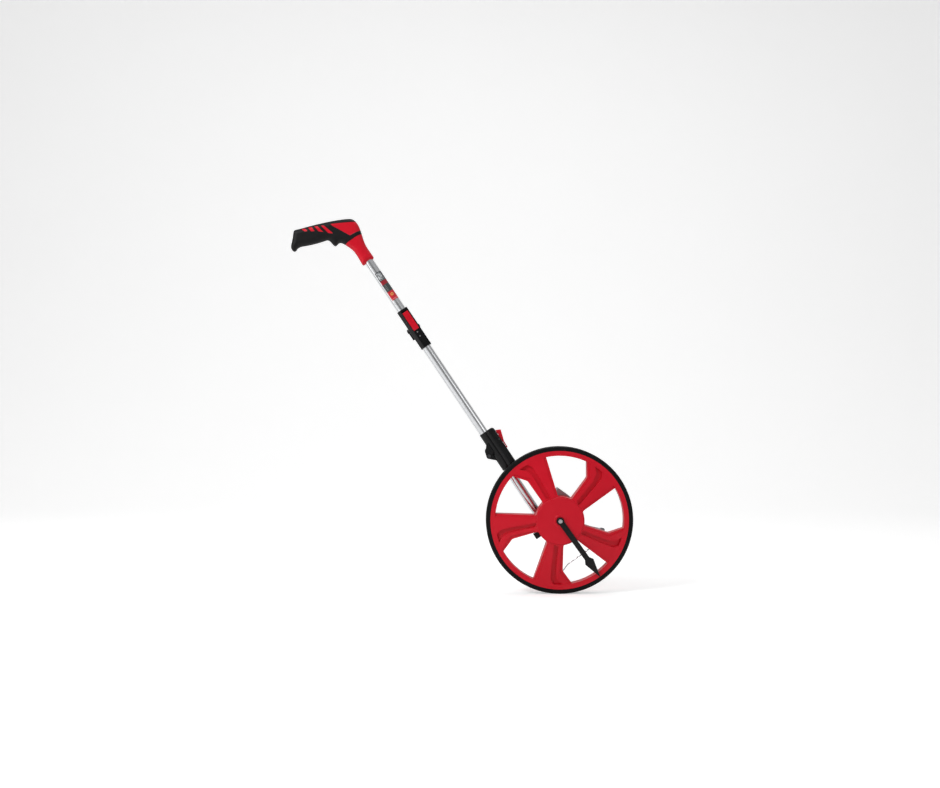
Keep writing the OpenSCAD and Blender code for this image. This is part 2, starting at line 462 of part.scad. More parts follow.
// s = -1 front half, s = 1 back half; a and b are depths from the joint face
module lay(s, a, b) side(yt + min(s * a, s * b), yt + max(s * a, s * b)) children();
module half(s) difference() {
  union() {
    lay(s, 0, 11) union() { difference() { o2(0); soft_area(); } o2(1.8); }
    lay(s, 11, 13.5) union() { difference() { o2(1.2); soft_area(); } o2(3.6); }
    lay(s, 13.5, 15) difference() { o2(3); soft_area(); }
  }
  difference() {
    lay(s, -1, 11) intersection() { o2(4.4); translate([-200, 750]) square([300, 200]); }
    for (p = screw_at) ybar(xt + p[0], p[1], 20, 70, 4.2);
  }
  zbar(xt, yt, 690, 746, tube_od / 2);
  for (p = screw_at) if (s > 0) { ybar(xt + p[0], p[1], 40, 70, 1.7); ybar(xt + p[0], p[1], 56, 70, 3.2); } else ybar(xt + p[0], p[1], 33, 50, 1.4);
}
module handle_front() color(red) mast() half(-1);
module handle_back() color(red) mast() half(1);
module cover(s) difference() {
  union() {
    lay(s, 0, 11) intersection() { difference() { o2(0); o2(1.8); } soft_area(); }
    lay(s, 11, 13.5) intersection() { difference() { o2(1.2); o2(3.6); } soft_area(); }
    lay(s, 13.5, 15) difference() { intersection() { o2(3); soft_area(); } translate([xt, 0]) for (p = slashes) polygon(p); }
  }
  if (s > 0) for (p = screw_at) ybar(xt + p[0], p[1], 50, 70, 3.2);
}
module grip_cover_front() color(black) mast() cover(-1);
module grip_cover_back() color(black) mast() cover(1);
module grip_slashes() color(red) mast() for (s = [-1, 1]) for (p = slashes) lay(s, 13.5, 15) translate([xt, 0]) polygon(p);
module handle_screws() color(steel) mast() for (p = screw_at) difference() {
  union() { ybar(xt + p[0], p[1], 34, 45, 1.4); ybar(xt + p[0], p[1], 45, 56, 1.4); ybar(xt + p[0], p[1], 56, 58.2, 3); }
  bx(xt + p[0] - 2.4, xt + p[0] + 2.4, 57.4, 60, p[1] - 0.4, p[1] + 0.4);
  bx(xt + p[0] - 0.4, xt + p[0] + 0.4, 57.4, 60, p[1] - 2.4, p[1] + 2.4);
}

tyre();
wheel_disc();
hub_cap();
hub_bush_front();
hub_bush_rear();
drive_gear();
axle_clip();
axle();
axle_washer();
axle_nut();
pointer();
pointer_screw();
axle_bracket();
gear_cover();
cover_screws();
idler_gear();
idler_pin();
counter_shaft();
counter_gear();
drum_units();
drum_tens();
drum_hundreds();
drum_thousands();
drum_top();
counter_case();
counter_window();
reset_button();
reset_spring();
stand_wire();
stand_feet();
fork_tube();
lower_sleeve_fork();
lower_sleeve_mid();
lower_hinge_pin();
lower_latch();
lower_latch_pin();
lower_latch_spring();
middle_tube();
mid_sleeve_mid();
mid_sleeve_top();
mid_hinge_pin();
mid_latch();
mid_latch_pin();
mid_latch_spring();
sleeve_rivets_fork();
sleeve_rivets_mid();
sleeve_rivets_top();
upper_tube();
tube_label();
handle_front();
handle_back();
grip_cover_front();
grip_cover_back();
grip_slashes();
handle_screws();
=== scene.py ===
# Looks of a folding measuring wheel, built around its CAD frame. Metres, +Z up.
# The hub is on the Z axis, the axle along Y and the front towards -Y.
# The mast rises from the hub and leans towards -X.
import bpy
import bmesh
import json
import math
import numpy as np
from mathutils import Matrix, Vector
from mathutils.geometry import delaunay_2d_cdt


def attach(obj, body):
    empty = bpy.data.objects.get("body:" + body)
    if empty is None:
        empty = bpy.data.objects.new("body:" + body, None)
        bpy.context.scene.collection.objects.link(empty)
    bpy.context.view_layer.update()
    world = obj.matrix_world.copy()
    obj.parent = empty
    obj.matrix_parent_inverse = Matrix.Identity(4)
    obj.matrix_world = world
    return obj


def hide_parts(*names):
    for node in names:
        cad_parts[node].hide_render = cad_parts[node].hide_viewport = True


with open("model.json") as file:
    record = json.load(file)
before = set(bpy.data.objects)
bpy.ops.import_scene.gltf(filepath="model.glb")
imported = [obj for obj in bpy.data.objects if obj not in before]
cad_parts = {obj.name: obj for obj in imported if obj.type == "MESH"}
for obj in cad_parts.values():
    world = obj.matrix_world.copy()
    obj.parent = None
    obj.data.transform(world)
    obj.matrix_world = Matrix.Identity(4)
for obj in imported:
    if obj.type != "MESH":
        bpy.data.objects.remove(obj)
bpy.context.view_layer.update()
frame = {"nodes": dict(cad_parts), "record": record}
cad_nodes = frame["nodes"]

MM = 1000  # millimetres in a metre
MAST_LEAN = math.radians(33.8)
MAST_ACROSS = Vector((math.cos(MAST_LEAN), 0, math.sin(MAST_LEAN)))
MAST_UP = Vector((-math.sin(MAST_LEAN), 0, math.cos(MAST_LEAN)))
HUB = Vector((0, 0, 0.159155))
TUBE_X, TUBE_Y = -0.0315, 0.045  # centre line of the label and handle, in the mast's frame


def mast_point(x, y, z):
    """World place of a point x across the mast, y back and z up it from the hub."""
    return HUB + MAST_ACROSS * x + MAST_UP * z + Vector((0, y, 0))


def add_object(name, bm):
    """Turn a bmesh into a smooth-shaded object in the scene."""
    for face in bm.faces:
        face.smooth = True
    mesh = bpy.data.meshes.new(name)
    bm.to_mesh(mesh)
    bm.free()
    obj = bpy.data.objects.new(name, mesh)
    bpy.context.scene.collection.objects.link(obj)
    return obj


# ---------------------------------------------------------------- shader helpers
class Graph:
    """Short ways to add nodes to a node tree. Most methods return an output socket."""

    def __init__(self, tree):
        self.tree = tree

    def feed(self, socket, value):
        """Link an output to an input socket, or set the input's own value."""
        if isinstance(value, bpy.types.NodeSocket):
            self.tree.links.new(value, socket)
        else:
            socket.default_value = value

    def node(self, kind, **settings):
        """Add a node; each setting is an input if one has that name, else a property."""
        new = self.tree.nodes.new(kind)
        for key, value in settings.items():
            if key in new.inputs:
                self.feed(new.inputs[key], value)
            else:
                setattr(new, key, value)
        return new

    def object_point(self, turn=(0, 0, 0)):
        coordinates = self.node("ShaderNodeTexCoord").outputs["Object"]
        return self.node("ShaderNodeMapping", Rotation=turn, Vector=coordinates).outputs[0]

    def noise(self, point, scale, detail=2.0, roughness=0.5):
        return self.node("ShaderNodeTexNoise", Scale=scale, Detail=detail,
                         Roughness=roughness, Vector=point).outputs[0]

    def cells(self, point, scale):
        return self.node("ShaderNodeTexVoronoi", Scale=scale, Vector=point).outputs["Distance"]

    def bump(self, height, strength, distance, **below):
        return self.node("ShaderNodeBump", Strength=strength, Distance=distance,
                         Height=height, **below).outputs[0]

    def ramp(self, value, stops, interpolation="LINEAR"):
        """Colour ramp; a stop is (position, grey level or colour)."""
        new = self.node("ShaderNodeValToRGB")
        new.color_ramp.interpolation = interpolation
        elements = new.color_ramp.elements
        while len(elements) < len(stops):
            elements.new(0.5)
        for element, (position, color) in zip(elements, stops):
            element.position = position
            element.color = (*color, 1) if isinstance(color, tuple) else (color,) * 3 + (1,)
        self.feed(new.inputs[0], value)
        return new.outputs[0]

    def math(self, operation, *values):
        new = self.node("ShaderNodeMath", operation=operation)
        for socket, value in zip(new.inputs, values):
            self.feed(socket, value)
        return new.outputs[0]

    def times(self, first, second):
        return self.math("MULTIPLY", first, second)

    def linear(self, value, gain, offset):
        return self.math("ADD", self.times(value, gain), offset)

    def between(self, value, low, high):
        """1 where the value lies between the limits, else 0."""
        return self.times(self.math("GREATER_THAN", value, low),
                          self.math("LESS_THAN", value, high))

    def mix(self, factor, first, second, mode="MIX"):
        """Mix two colours."""
        new = self.node("ShaderNodeMix", data_type="RGBA", blend_type=mode)
        self.feed(new.inputs[0], factor)
        for index, color in ((6, first), (7, second)):
            self.feed(new.inputs[index], (*color, 1) if isinstance(color, tuple) else color)
        return new.outputs[2]

    def mix_value(self, factor, first, second):
        new = self.node("ShaderNodeMix", data_type="FLOAT")
        for index, value in ((0, factor), (2, first), (3, second)):
            self.feed(new.inputs[index], value)
        return new.outputs[0]

    def edge_highlight_mask(self):
        """Patchy mask over the convex edges, where a paler painted highlight goes."""
        pointiness = self.node("ShaderNodeNewGeometry").outputs["Pointiness"]
        edges = self.ramp(pointiness, [(0.54, 0.0), (0.64, 1.0)])
        return self.times(edges, self.noise(self.object_point(), scale=160.0, detail=4.0))


class MaterialGraph(Graph):
    """The graph of a new material with one Principled shader."""

    def __init__(self, name):
        self.material = bpy.data.materials.new(name)
        self.material.use_nodes = True
        super().__init__(self.material.node_tree)
        self.tree.nodes.clear()
        output = self.node("ShaderNodeOutputMaterial")
        self.shader = self.node("ShaderNodeBsdfPrincipled")
        self.feed(output.inputs[0], self.shader.outputs[0])

    def finish(self, inputs):
        """Feed the shader's named inputs and return the material."""
        for name, value in inputs.items():
            self.feed(self.shader.inputs[name], value)
        return self.material


def shade(color, gain, lift=0.0):
    """A colour scaled and lifted, no channel above 1."""
    return tuple(min(1, channel * gain + lift) for channel in color)


# ---------------------------------------------------------------- material families
def plastic(name, color, rough, grain=1400.0, bump=0.08, highlight_amount=0.25, vary=0.10,
            highlight_color=None, coat=0.0, specular=0.5):
    """Moulded plastic: fine grain, cloudy tone, and a painted highlight of paler colour on the
    convex edges.
    """
    g = MaterialGraph(name)
    point = g.object_point()
    cloud = g.noise(point, scale=28.0, detail=3.0)
    tone = g.mix(cloud, shade(color, 1 - vary), shade(color, 1 + vary, 0.004))
    # painted highlight: paler colour over the convex edges, where the rounding catches light
    painted_highlight = g.times(g.edge_highlight_mask(), highlight_amount)
    tone = g.mix(painted_highlight, tone, highlight_color or shade(color, 1.5, 0.04))
    fine = g.noise(point, scale=grain, roughness=0.6)
    smudge = g.noise(point, scale=60.0, detail=5.0)
    inputs = {
        "Base Color": tone,
        "Roughness": g.linear(smudge, gain=0.16, offset=rough - 0.08),
        "Normal": g.bump(fine, strength=bump, distance=0.0003),
        "Specular IOR Level": specular,
    }
    if coat:
        inputs.update({"Coat Weight": coat, "Coat Roughness": 0.2})
    return g.finish(inputs)


def metal(name, color, rough, bump=0.05, drawn=False):
    """Drawn metal has fine lines along the mast; other metal has a soft grain."""
    g = MaterialGraph(name)
    stretch = g.node("ShaderNodeVectorMath", operation="MULTIPLY")
    g.feed(stretch.inputs[0], g.object_point(turn=(0, MAST_LEAN, 0)))
    g.feed(stretch.inputs[1], (1500, 1500, 14) if drawn else (900, 900, 900))
    grain = g.noise(stretch.outputs[0], scale=1.0, detail=3.0)
    cloud = g.noise(g.object_point(), scale=18.0, detail=4.0)
    tone = g.mix(grain, shade(color, 0.95), shade(color, 1.06))
    tone = g.mix(g.times(cloud, 0.25), tone, shade(color, 0.75))
    uneven = g.math("ADD", g.times(grain, 0.06), g.times(cloud, 0.10))
    return g.finish({
        "Base Color": tone,
        "Metallic": 1.0,
        "Roughness": g.math("ADD", uneven, rough - 0.12),
        "Normal": g.bump(grain, strength=bump, distance=0.0002),
    })


def rubber(name, color, rough, grain, bump):
    """Matt rubber with a cellular grain and a faint painted highlight of paler colour on the
    edges.
    """
    g = MaterialGraph(name)
    point = g.object_point()
    cloud = g.noise(point, scale=45.0, detail=5.0)
    tone = g.mix(cloud, shade(color, 0.75), shade(color, 1.4, 0.001))
    # painted highlight: faintly paler colour over the convex edges
    tone = g.mix(g.times(g.edge_highlight_mask(), 0.25), tone, shade(color, 1, 0.02))
    return g.finish({
        "Base Color": tone,
        "Specular IOR Level": 0.18,
        "Roughness": g.linear(cloud, gain=0.2, offset=rough - 0.1),
        "Normal": g.bump(g.cells(point, grain), strength=bump, distance=0.0002),
    })


def window_material():
    """Smoky clear plastic."""
    g = MaterialGraph("smoky_window")
    cloud = g.noise(g.object_point(), scale=200.0)
    return g.finish({
        "Base Color": g.mix(cloud, (0.55, 0.57, 0.60), (0.68, 0.70, 0.72)),
        "Roughness": g.linear(cloud, gain=0.08, offset=0.04),
        "Transmission Weight": 0.9,
        "IOR": 1.49,
    })


# ---------------------------------------------------------------- printed label
LABEL_BOTTOM, LABEL_TOP = 0.599, 0.670  # heights up the mast
LABEL_HALF_WIDTH = 0.0095
LABEL_RED, LABEL_DARK = (0.62, 0.015, 0.03), (0.045, 0.055, 0.055)
# Bands up the label: share of its height where each starts, colour.
LABEL_BANDS = [
    (0.0, LABEL_RED), (0.03, (0.8, 0.3, 0.3)), (0.045, LABEL_RED),
    (0.30, LABEL_DARK), (0.56, (0.34, 0.01, 0.02)), (0.69, (0.06, 0.065, 0.07)),
]


def label_material():
    """Printed film: bands, a block of random squares, a ring and a block of lines."""
    g = MaterialGraph("printed_label")
    point = g.node("ShaderNodeTexCoord").outputs["Object"]

    def share(axis, start, end):
        """0 to 1 between two places along an axis of the mast."""
        dot = g.node("ShaderNodeVectorMath", operation="DOT_PRODUCT")
        g.feed(dot.inputs[0], point)
        g.feed(dot.inputs[1], axis)
        offset = g.math("SUBTRACT", dot.outputs["Value"], HUB.dot(axis) + start)
        return g.times(offset, 1 / (end - start))

    up = share(MAST_UP, LABEL_BOTTOM, LABEL_TOP)
    across = share(MAST_ACROSS, TUBE_X - LABEL_HALF_WIDTH, TUBE_X + LABEL_HALF_WIDTH)
    tone = g.ramp(up, LABEL_BANDS, "CONSTANT")

    # pale squares: grid cells picked at random inside a block near the top
    grid = g.node("ShaderNodeCombineXYZ", X=g.times(up, 60.0), Y=g.times(across, 12.0))
    cell = g.node("ShaderNodeVectorMath", operation="FLOOR")
    g.feed(cell.inputs[0], grid.outputs[0])
    draw = g.node("ShaderNodeTexWhiteNoise", noise_dimensions="2D", Vector=cell.outputs[0])
    picked = g.math("GREATER_THAN", draw.outputs["Value"], 0.52)
    block = g.times(g.between(up, 0.72, 0.97), g.between(across, 0.30, 0.86))
    tone = g.mix(g.times(picked, block), tone, (0.62, 0.64, 0.66))

    # small orange ring in the low red band, its radii in metres
    ring_up = g.times(g.math("SUBTRACT", up, 0.19), LABEL_TOP - LABEL_BOTTOM)
    ring_across = g.times(g.math("SUBTRACT", across, 0.62), 2 * LABEL_HALF_WIDTH)
    squares = g.math("ADD", g.times(ring_up, ring_up), g.times(ring_across, ring_across))
    radius = g.math("SQRT", squares)
    ring = g.times(g.math("LESS_THAN", radius, 0.0034), g.math("GREATER_THAN", radius, 0.0016))
    tone = g.mix(ring, tone, (0.85, 0.42, 0.10))

    # faint lines across the dark band
    wave = g.math("PINGPONG", g.times(up, 40.0), 1.0)
    lines = g.times(g.math("GREATER_THAN", wave, 0.55), g.between(up, 0.33, 0.53))
    lines = g.times(lines, g.between(across, 0.38, 0.6))
    tone = g.mix(g.times(lines, 0.35), tone, (0.5, 0.5, 0.5))

    cloud = g.noise(g.object_point(), scale=300.0)
    return g.finish({
        "Base Color": tone,
        "Roughness": g.linear(cloud, gain=0.12, offset=0.26),
        "Coat Weight": 0.3,
    })


# ---------------------------------------------------------------- materials of the CAD pieces
RED = (0.66, 0.003, 0.018)
# One material for each slot name in the frame record, and one for the pins.
# each plastic and rubber below paints a paler highlight on its convex edges
materials = {
    "rubber_black": rubber("tyre_rubber", (0.002, 0.002, 0.0024), rough=0.5, grain=1200,
                           bump=0.15),
    "plastic_red": plastic("red_moulding", RED, rough=0.34, grain=1500, bump=0.07, highlight_amount=0.10,
                           vary=0.06, highlight_color=(0.85, 0.10, 0.12), specular=0.25),
    "plastic_pale": plastic("cap_red", RED, rough=0.30, grain=1500, bump=0.05, highlight_amount=0.10,
                            vary=0.04, highlight_color=(0.75, 0.08, 0.10), coat=0.05,
                            specular=0.32),
    "plastic_grey": plastic("grey_bush", (0.36, 0.37, 0.38), rough=0.5),
    "plastic_white": plastic("gear_white", (0.74, 0.74, 0.71), rough=0.45),
    "plastic_black": plastic("black_moulding", (0.0025, 0.0025, 0.003), rough=0.24,
                             grain=1300, bump=0.05, vary=0.15,
                             highlight_color=(0.025, 0.025, 0.027), specular=0.3),
    "plastic_grey_light": plastic("counter_grey", (0.42, 0.43, 0.45), rough=0.4),
    "drum_white": plastic("drum_white", (0.82, 0.82, 0.80), rough=0.45),
    "steel": metal("plain_steel", (0.62, 0.62, 0.63), rough=0.30),
    "steel_bright": metal("bright_wire", (0.72, 0.72, 0.74), rough=0.22),
    "rubber_grey": rubber("grey_rubber", (0.20, 0.20, 0.21), rough=0.6, grain=1100, bump=0.2),
    "rubber_grip": rubber("soft_grip", (0.020, 0.020, 0.022), rough=0.58, grain=1000,
                          bump=0.25),
    "aluminium": metal("drawn_aluminium", (0.84, 0.85, 0.87), rough=0.27, bump=0.01,
                       drawn=True),
    "window": window_material(),
    "pin_dark": metal("blackened_pin", (0.10, 0.10, 0.105), rough=0.42),
    "label": label_material(),
}
# a slightly softer black than the sleeves
pointer_black = plastic("pointer_black", (0.005, 0.005, 0.0055), rough=0.33, grain=1500,
                        bump=0.05, highlight_color=(0.05, 0.05, 0.052), specular=0.22)


def set_material(name, material):
    slots = cad_nodes[name].data.materials
    slots.clear()
    slots.append(material)


slot_of = {part["node"]: part["material_slot"] for part in frame["record"]["subparts"]}
for name in cad_nodes:
    set_material(name, materials[slot_of[name]])
for name in ("lower_hinge_pin", "mid_hinge_pin", "lower_latch_pin", "mid_latch_pin"):
    set_material(name, materials["pin_dark"])
for name in ("pointer", "reset_button"):
    set_material(name, pointer_black)


# ---------------------------------------------------------------- soft edges on the CAD pieces
EDGE_WIDTHS = {
    "lower_sleeve_fork": 0.0009, "lower_sleeve_mid": 0.0009, "mid_sleeve_mid": 0.0009,
    "mid_sleeve_top": 0.0009, "lower_latch": 0.0010, "mid_latch": 0.0008,
    "axle_bracket": 0.0008, "counter_case": 0.0006, "gear_cover": 0.0003,
    "pointer": 0.0004, "reset_button": 0.0008, "wheel_disc": 0.0006, "tyre": 0.0003,
}


def soften(obj, width):
    """Round the sharp edges of a piece."""
    weld = obj.modifiers.new("weld", "WELD")
    weld.merge_threshold = 0.00002
    bevel = obj.modifiers.new("bevel", "BEVEL")
    bevel.width = width
    bevel.segments = 2
    bevel.limit_method = "ANGLE"
    bevel.angle_limit = math.radians(28)
    bevel.use_clamp_overlap = True
    bevel.harden_normals = False
    normals = obj.modifiers.new("normals", "WEIGHTED_NORMAL")
    normals.keep_sharp = False
    normals.weight = 80
    for face in obj.data.polygons:
        face.use_smooth = True


for name, width in EDGE_WIDTHS.items():
    soften(cad_nodes[name], width)


# ---------------------------------------------------------------- handle
# Tables of (x across from the tube's centre line, z up the mast from the hub), mm.
HANDLE_OUTLINE = [
    (-127.4, 817.8), (-125.7, 824), (-114.7, 834), (-106.5, 843), (-101, 849.5), (-96, 849),
    (-85, 844.6), (-68.2, 839.3), (-45.2, 831), (-21, 821.5), (-1.4, 812.6), (11.1, 806.2),
    (18.5, 801.5), (23, 796), (24.9, 787.4), (24.5, 777.2), (21.6, 765.5), (17.4, 751.5),
    (13.6, 737), (13.2, 720.2), (13.6, 709), (13.4, 700.5), (4, 700), (-8, 700),
    (-16.6, 699.8), (-16.6, 705.2), (-15.4, 720.7), (-15.2, 733.9), (-16.8, 743.7),
    (-22.6, 758), (-26, 766), (-31.5, 771.6), (-38, 770.4), (-44.5, 769.4), (-46, 777),
    (-47, 785.6), (-50, 791.2), (-58, 793.2), (-71, 796.9), (-87.4, 802.8), (-97.9, 807.3),
    (-108, 812), (-115.7, 812.4), (-122, 809.6), (-126.8, 811),
]
# Red areas: a panel over the bend, the neck below it and four slashes along the grip.
RED_PANEL = [
    (-24.9, 815.2), (22.4, 789.5), (40, 783), (40, 766), (19.6, 767.7), (8.6, 769),
    (-2.7, 769.9), (-4.8, 773), (-14, 791), (-23.7, 809.4),
]
RED_NECK = [
    (-60, 757), (-23, 759.7), (-14, 760.5), (3.2, 760.9), (18.6, 759.8), (40, 759),
    (40, 680), (-60, 680),
]
RED_SLASHES = [
    [(-84.4, 841.5), (-76.6, 838), (-74.9, 829.2), (-81.1, 832.5)],
    [(-69.8, 836), (-62.7, 832.1), (-62, 820.6), (-69.4, 824.7)],
    [(-57.5, 831.1), (-51, 826.8), (-47.3, 808.2), (-55.3, 815.3)],
    [(-44.4, 824), (-38.5, 820.1), (-30.8, 793.7), (-39.7, 800.6)],
]
OUTLINE_STEPS = 5  # points made for each outline point
RIM_INSETS = [0.12, 0.45, 1.0, 1.8, 2.7]  # rings inside the outline, mm
GRID_PITCH = 1.25  # points inside the last ring, mm
GRID_CLEARANCE = 0.9  # gap between the last ring and the grid, mm
HALF_THICKNESS = 15.0  # mm
NECK_TOP = 758  # mm
NECK_ROUNDING, GRIP_ROUNDING = 13.0, 12.5  # width of the rounded edge, mm
ROUNDING_POWER = 2.25
PANEL_RECESS, SLASH_RECESS = 0.55, 0.35  # mm
RECESS_EDGE = 0.8  # width of the slope into a recess, mm
RIDGE_HEIGHTS = (707.0, 713.5)  # up the mast, mm
RIDGE_RISE, RIDGE_WIDTH = 0.5, 1.0  # mm
RELIEF_FADE = 6  # recesses and ridges fade out where the shell is lower than this, mm


def smooth_outline(points, steps):
    """Closed quadratic curve through the middles of the outline's sides."""
    points = [np.array(point, float) for point in points]
    curve = []
    for i, corner in enumerate(points):
        start = (points[i - 1] + corner) / 2
        end = (points[(i + 1) % len(points)] + corner) / 2
        for k in range(steps):
            s = k / steps
            curve.append(start * (1 - s) ** 2 + corner * 2 * s * (1 - s) + end * s * s)
    return np.array(curve)


def outline_distance(points, outline):
    """Distance of many points to a closed outline."""
    best = np.full(len(points), 1e9)
    for start, end in zip(outline, np.roll(outline, -1, 0)):
        side = end - start
        t = np.clip(((points - start) @ side) / max(side @ side, 1e-12), 0, 1)
        gap = np.linalg.norm(points - start - t[:, None] * side, axis=1)
        best = np.minimum(best, gap)
    return best


def is_inside(points, outline):
    inside = np.zeros(len(points), bool)
    x, z = points[:, 0], points[:, 1]
    for (x1, z1), (x2, z2) in zip(outline, np.roll(outline, -1, 0)):
        inside ^= ((z1 > z) != (z2 > z)) & (x < (x2 - x1) * (z - z1) / (z2 - z1 + 1e-12) + x1)
    return inside


def depth_inside(points, outline):
    """Distance to the outline, positive inside and negative outside."""
    outline = np.array(outline, float)
    distance = outline_distance(points, outline)
    return np.where(is_inside(points, outline), distance, -distance)


def grid_inside(outline):
    """Staggered grid of points well inside the outline."""
    low, high = outline.min(0), outline.max(0)
    grid = []
    for row, z in enumerate(np.arange(low[1], high[1], GRID_PITCH * 0.866)):
        shift = GRID_PITCH / 2 if row % 2 else 0
        for x in np.arange(low[0] + shift, high[0], GRID_PITCH):
            grid.append((x, z))
    grid = np.array(grid)
    grid = grid[is_inside(grid, outline)]
    return grid[outline_distance(grid, outline) > RIM_INSETS[-1] + GRID_CLEARANCE]


def shell_height(points, outline):
    """Height of the shell above its middle plane."""
    rounding = np.where(points[:, 1] < NECK_TOP, NECK_ROUNDING, GRIP_ROUNDING)
    k = np.clip(outline_distance(points, outline) / rounding, 0, 1)
    return HALF_THICKNESS * (1 - (1 - k) ** ROUNDING_POWER) ** (1 / ROUNDING_POWER)


def half_shell():
    """Points (x, z), heights and faces of half the shell, and its rim's point count."""
    outline = smooth_outline(HANDLE_OUTLINE, OUTLINE_STEPS)
    count = len(outline)
    along = np.roll(outline, -1, 0) - np.roll(outline, 1, 0)
    along /= np.linalg.norm(along, axis=1)[:, None]
    inward = np.stack([along[:, 1], -along[:, 0]], 1)
    rings = [outline] + [outline + inward * inset for inset in RIM_INSETS]

    # the last ring bounds a triangulated fill
    sources = [Vector(p) for p in rings.pop()] + [Vector(p) for p in grid_inside(outline)]
    sides = [(i, (i + 1) % count) for i in range(count)]
    fill, _, triangles, origins, _, _ = delaunay_2d_cdt(sources, sides, [], 1, 1e-5)
    fill_index = {}
    for i, merged in enumerate(origins):
        for k in merged:
            if k < count:
                fill_index.setdefault(k, i)
    fill = np.array([(p.x, p.y) for p in fill])

    heights = [np.zeros(count)] + [shell_height(ring, outline) for ring in rings[1:]]
    heights.append(shell_height(fill, outline))
    base = count * len(rings)
    faces = []
    for k in range(len(rings)):
        for i in range(count):
            j = (i + 1) % count
            if k + 1 < len(rings):
                inner = ((k + 1) * count + j, (k + 1) * count + i)
            else:
                inner = (base + fill_index.get(j, 0), base + fill_index.get(i, 0))
            faces.append((k * count + i, k * count + j, *inner))
    faces += [tuple(base + i for i in triangle) for triangle in triangles]
    return np.concatenate(rings + [fill]), np.concatenate(heights), faces, count


def build_handle():
    points, height, faces, rim_count = half_shell()

    panel = np.maximum(depth_inside(points, RED_PANEL), depth_inside(points, RED_NECK))
    slashes = np.max([depth_inside(points, slash) for slash in RED_SLASHES], 0)
    red = np.maximum(panel, slashes)
    recess = (PANEL_RECESS * np.clip(panel / RECESS_EDGE + 0.5, 0, 1)
              + SLASH_RECESS * np.clip(slashes / RECESS_EDGE + 0.5, 0, 1))
    # two soft ridges around the lower neck
    ridge = np.zeros(len(points))
    for z in RIDGE_HEIGHTS:
        ridge += RIDGE_RISE * np.exp(-((points[:, 1] - z) / RIDGE_WIDTH) ** 2)
    fade = np.clip(height / RELIEF_FADE, 0, 1)
    height = height - recess * fade + ridge * fade

    bm = bmesh.new()
    red_layer = bm.verts.layers.float.new("red")
    side_layer = bm.verts.layers.float.new("depth")

    def add_vertex(i, side):
        """Point i of the shell; side is -1 at the front and 1 at the back."""
        x, z = points[i]
        y = TUBE_Y + side * height[i] / MM
        vertex = bm.verts.new(mast_point(TUBE_X + x / MM, y, z / MM))
        vertex[red_layer] = red[i]
        vertex[side_layer] = side
        return vertex

    front, back = [], []
    for i in range(len(points)):
        front.append(add_vertex(i, -1.0))
        # both halves share the rim
        back.append(front[i] if i < rim_count else add_vertex(i, 1.0))
    for face in faces:
        face = tuple(dict.fromkeys(face))
        if len(face) < 3:
            continue
        # inset rings may fold at tight corners, and a face that exists already is refused
        try:
            bm.faces.new([front[i] for i in face])
            bm.faces.new([back[i] for i in reversed(face)])
        except ValueError:
            pass
    loose = [vertex for vertex in bm.verts if not vertex.link_faces]
    bmesh.ops.delete(bm, geom=loose, context="VERTS")
    bmesh.ops.recalc_face_normals(bm, faces=bm.faces)
    return add_object("handle_body", bm)


def handle_material():
    """Red and black plastic, parted by the mesh's "red" attribute in mm."""
    g = MaterialGraph("handle_two_tone")
    red_depth = g.node("ShaderNodeAttribute", attribute_name="red").outputs["Fac"]
    is_red = g.math("GREATER_THAN", red_depth, 0.0)
    point = g.object_point()
    cloud = g.noise(point, scale=26.0, detail=4.0)
    red = g.mix(cloud, shade(RED, 0.93), shade(RED, 1.06, 0.003))
    black = g.mix(cloud, (0.003, 0.003, 0.0034), (0.008, 0.008, 0.009))
    # a dark gap where the two colours meet
    gap = g.ramp(g.math("ABSOLUTE", red_depth), [(0.0, 0.35), (0.28, 1.0)])
    tone = g.mix(1.0, g.mix(is_red, black, red), gap, "MULTIPLY")

    smudge = g.noise(point, scale=70.0, detail=5.0)
    red_rough = g.linear(smudge, gain=0.14, offset=0.30)
    black_rough = g.linear(smudge, gain=0.16, offset=0.42)

    red_grain = g.times(g.noise(point, scale=1300.0), 0.3)
    grain = g.mix_value(is_red, g.cells(point, scale=1000.0), red_grain)
    grain_normal = g.bump(grain, strength=0.22, distance=0.00025)
    # parting line along the middle of the shell
    y = g.node("ShaderNodeSeparateXYZ", Vector=point).outputs[1]
    off_middle = g.math("ABSOLUTE", g.math("SUBTRACT", y, TUBE_Y))
    seam = g.ramp(g.times(off_middle, float(MM)), [(0.0, 0.0), (0.35, 1.0)])
    return g.finish({
        "Base Color": tone,
        "Roughness": g.mix_value(is_red, black_rough, red_rough),
        "Normal": g.bump(seam, strength=0.7, distance=0.0004, Normal=grain_normal),
        "Coat Weight": 0.02,
        "Coat Roughness": 0.25,
        "Specular IOR Level": 0.22,
    })


handle = build_handle()
handle.data.materials.append(handle_material())
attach(handle, "handle")
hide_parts("handle_front", "handle_back", "grip_cover_front", "grip_cover_back",
            "grip_slashes")


# ---------------------------------------------------------------- stand
STAND_TILT = math.radians(52)  # from straight down the mast towards the back
STAND_Y, STAND_Z = 0.054, -0.029  # the stand's origin in the mast's frame
# Corners of the wire: x across the mast, distance down the stand, mm.
STAND_PATH = [
    (6.5, 0), (4, 0), (-77, 176), (-57, 162), (-40, 149), (18.6, 146), (73, 107), (20, 0),
    (17.5, 0),
]
WIRE_RADIUS = 0.0015
BEND_CUT = 0.004  # length rounded off each side of a corner
FOOT_REACH = 0.013  # length of a foot each way from its corner
FOOT_RADIUS = 0.0033
# Taper of a foot's ends: share of the end stretch, radius.
FOOT_TAPER = [(0, 0.0018), (0.04, 0.0026), (0.1, 0.003), (0.2, 0.0031), (0.5, 0.0031)]


